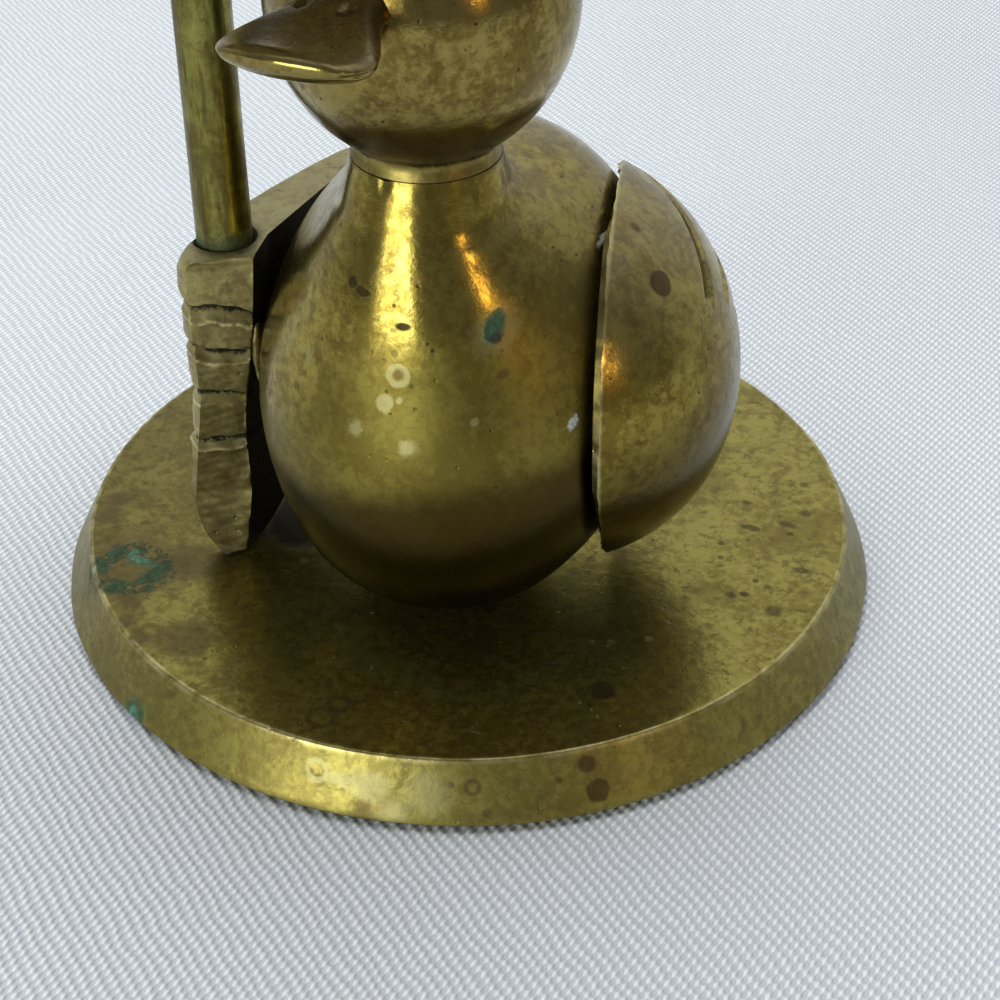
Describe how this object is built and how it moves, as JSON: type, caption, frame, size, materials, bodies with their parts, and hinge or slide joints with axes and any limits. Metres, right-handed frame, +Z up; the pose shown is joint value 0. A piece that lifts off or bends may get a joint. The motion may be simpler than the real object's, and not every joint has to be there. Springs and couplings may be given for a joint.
{
  "type": "duck figurine",
  "caption": "Brass duck on a round weighted base, one wing resting and the other holding an umbrella that turns and lifts out.",
  "frame": {"origin": "centre of the felt's flat underside, on the axis of the round base", "axes": "+Z up along the base's axis; the duck faces -Y and its own left side is +X"},
  "size_m": [0.1175, 0.1118, 0.1343],
  "materials": {
    "base_brass": "aged, brushed, with brown and green patina",
    "body_brass": "aged polish with brown spots",
    "head_brass": "aged polish",
    "wing_brass": "aged, dull, darker in the grooves",
    "shaft_brass": "aged, olive, streaked along its length",
    "canopy_brass": "aged sheet",
    "eye_brass": "dark brass",
    "braze": "dull brazing metal",
    "steel": "plain turned steel",
    "felt": "dark green felt"
  },
  "bodies": {
    "duck": {"base_plate": "base_brass", "base_felt": "felt", "base_screw": "steel", "base_washer": "steel", "body_shell": "body_brass", "head_stud": "steel", "head": "head_brass", "bill": "head_brass", "bill_peg": "steel", "left_eye": "eye_brass", "right_eye": "eye_brass", "holding_wing": "wing_brass", "holding_wing_pegs": "steel", "holding_wing_braze": "braze", "resting_wing": "wing_brass", "resting_wing_pegs": "steel", "tail": "body_brass", "tail_peg": "steel"},
    "umbrella": {"umbrella_shaft": "shaft_brass", "umbrella_collar": "shaft_brass", "umbrella_finial": "shaft_brass"},
    "canopy": {"umbrella_canopy": "canopy_brass", "umbrella_ribs": "shaft_brass"}
  },
  "joints": [
    {"name": "umbrella_lift", "type": "slide", "parent": "duck", "child": "umbrella", "axis": [0, 0, 1], "range_m": [0, 0.025]},
    {"name": "canopy_turn", "type": "hinge", "parent": "umbrella", "child": "canopy", "pos_m": [-0.02205, -0.01638, 0.123], "axis": [0, 0, 1], "continuous": true}
  ]
}
